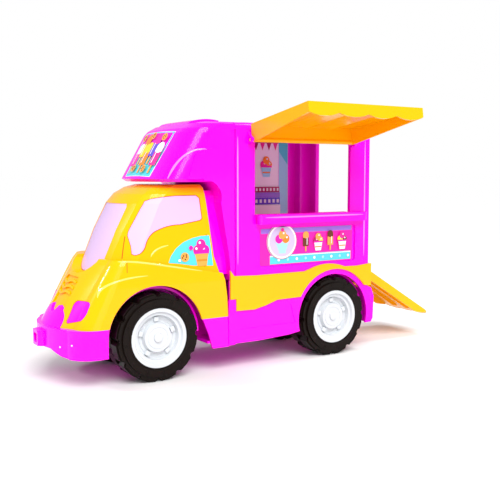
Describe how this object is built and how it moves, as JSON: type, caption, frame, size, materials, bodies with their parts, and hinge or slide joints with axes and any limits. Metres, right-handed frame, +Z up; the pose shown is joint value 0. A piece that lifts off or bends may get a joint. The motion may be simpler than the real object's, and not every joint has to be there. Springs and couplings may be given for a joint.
{
  "type": "toy ice cream truck",
  "caption": "Moulded plastic toy serving truck for a small doll: cab, open serving room, fold-down awning, rear ramp and free-rolling wheels.",
  "frame": {"origin": "on the ground below the middle of the bounding box, awning open and ramp lowered", "axes": "+X to the cab, +Y to the serving side, +Z up"},
  "size_m": [0.4774, 0.2252, 0.2598],
  "materials": {
    "magenta_plastic": "glossy moulded",
    "yellow_plastic": "glossy moulded",
    "white_plastic": "glossy moulded",
    "lilac_plastic": "glossy moulded",
    "pink_plastic": "glossy moulded",
    "tyre": "satin moulded",
    "steel": "plain"
  },
  "bodies": {
    "body": {"awning_rail": "yellow_plastic", "bumper": "magenta_plastic", "cab_shell": "yellow_plastic", "cargo_floor": "magenta_plastic", "cargo_front": "magenta_plastic", "cargo_rear": "magenta_plastic", "cargo_roof": "magenta_plastic", "cargo_side_left": "magenta_plastic", "cargo_side_right": "magenta_plastic", "chassis": "magenta_plastic", "counter": "magenta_plastic", "headlight_left": "magenta_plastic", "headlight_right": "magenta_plastic", "lower_trim_left": "yellow_plastic", "lower_trim_right": "yellow_plastic", "nose_grille": "yellow_plastic", "nose_peak": "magenta_plastic", "rear_trim": "yellow_plastic", "side_skirt_left": "magenta_plastic", "side_skirt_right": "magenta_plastic", "side_window_left": "pink_plastic", "side_window_right": "pink_plastic", "windshield": "lilac_plastic"},
    "front_wheels": {"axle_front": "steel", "hub_front_left": "white_plastic", "hub_front_right": "white_plastic", "tyre_front_left": "tyre", "tyre_front_right": "tyre"},
    "rear_wheels": {"axle_rear": "steel", "hub_rear_left": "white_plastic", "hub_rear_right": "white_plastic", "tyre_rear_left": "tyre", "tyre_rear_right": "tyre"},
    "awning": {"awning": "yellow_plastic"},
    "ramp": {"ramp": "yellow_plastic"}
  },
  "joints": [
    {"name": "front_axle_spin", "type": "hinge", "parent": "body", "child": "front_wheels", "pos_m": [0.13974, -0.05055, 0.0425], "axis": [0, 1, 0], "continuous": true},
    {"name": "rear_axle_spin", "type": "hinge", "parent": "body", "child": "rear_wheels", "pos_m": [-0.06926, -0.05055, 0.0425], "axis": [0, 1, 0], "continuous": true},
    {"name": "awning_hinge", "type": "hinge", "parent": "body", "child": "awning", "pos_m": [-0.02656, 0.01325, 0.2298], "axis": [-1, 0, 0], "range_deg": [0, 95]},
    {"name": "ramp_hinge", "type": "hinge", "parent": "body", "child": "ramp", "pos_m": [-0.12326, -0.05055, 0.094], "axis": [0, 1, 0], "range_deg": [0, 121]}
  ]
}
